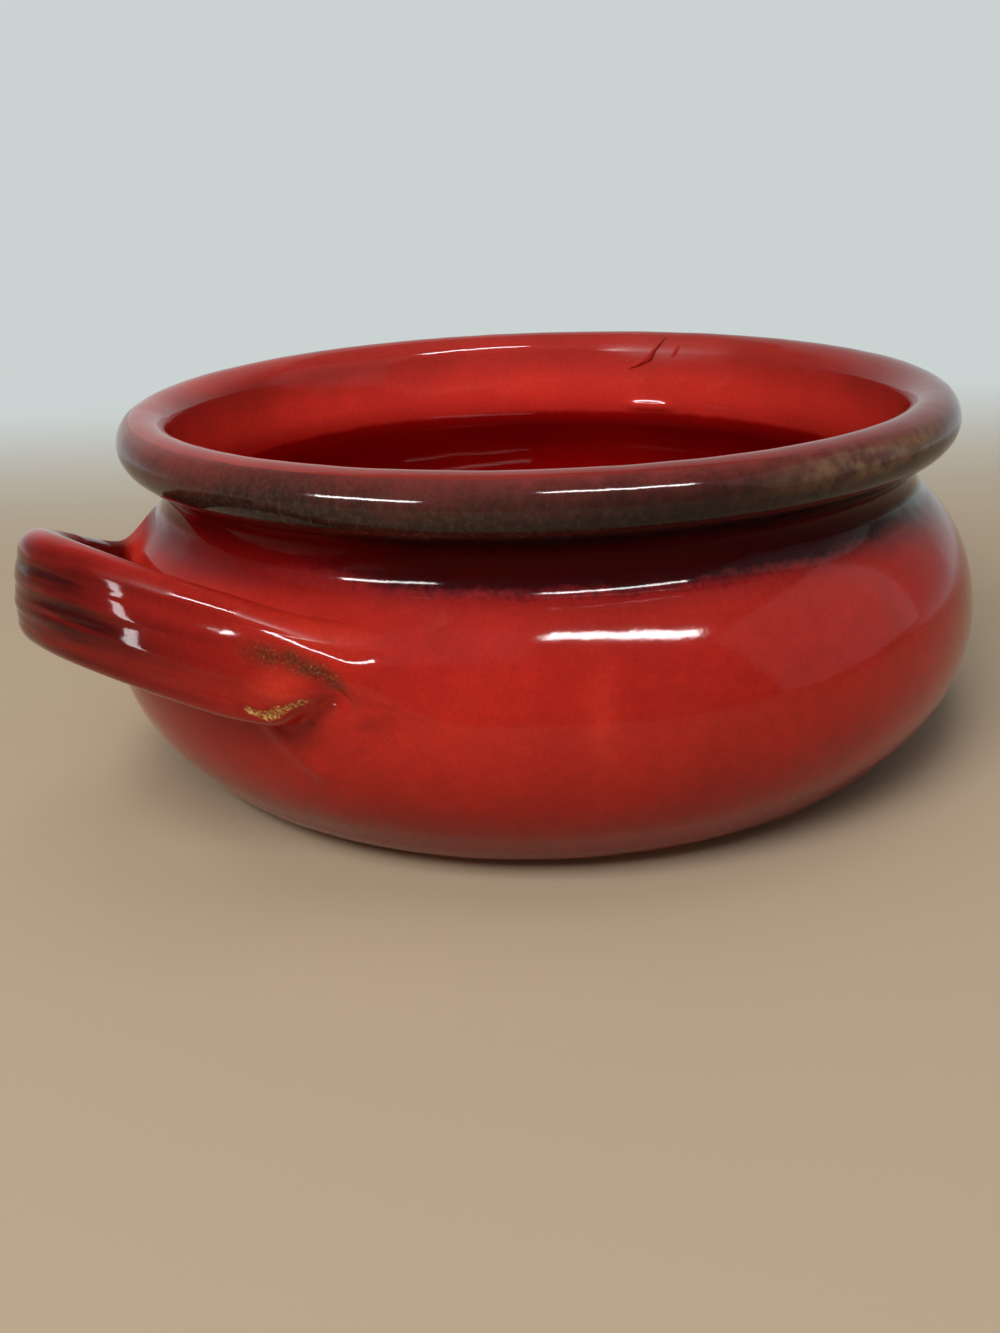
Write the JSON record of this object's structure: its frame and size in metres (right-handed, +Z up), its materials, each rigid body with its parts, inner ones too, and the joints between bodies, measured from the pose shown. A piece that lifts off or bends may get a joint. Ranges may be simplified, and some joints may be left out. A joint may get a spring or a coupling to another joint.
{
  "type": "casserole dish",
  "caption": "Round glazed terracotta casserole dish with a full belly, waisted neck, rolled rim and upswept grooved strap handles, for baking and serving.",
  "frame": {"origin": "centre of the flat base, on the surface that the dish stands on", "axes": "+Z up along the bowl's axis; X runs through the middle of both handles, with the left handle at -X"},
  "size_m": [0.331, 0.266, 0.1053],
  "materials": {
    "terracotta": "bare fired clay, matt",
    "red_glaze": "glossy red glaze over terracotta",
    "dark_glaze": "glossy dark iron glaze with bronze mottling",
    "handle_glaze": "glossy red-brown glaze over terracotta",
    "luting_slip": "fired slip, matt"
  },
  "bodies": {
    "root": {"bowl": "terracotta", "inside_glaze": "red_glaze", "outside_glaze": "red_glaze", "rim_glaze": "dark_glaze", "left_handle": "handle_glaze", "right_handle": "handle_glaze", "left_front_lute": "luting_slip", "left_rear_lute": "luting_slip", "right_front_lute": "luting_slip", "right_rear_lute": "luting_slip"}
  },
  "joints": []
}
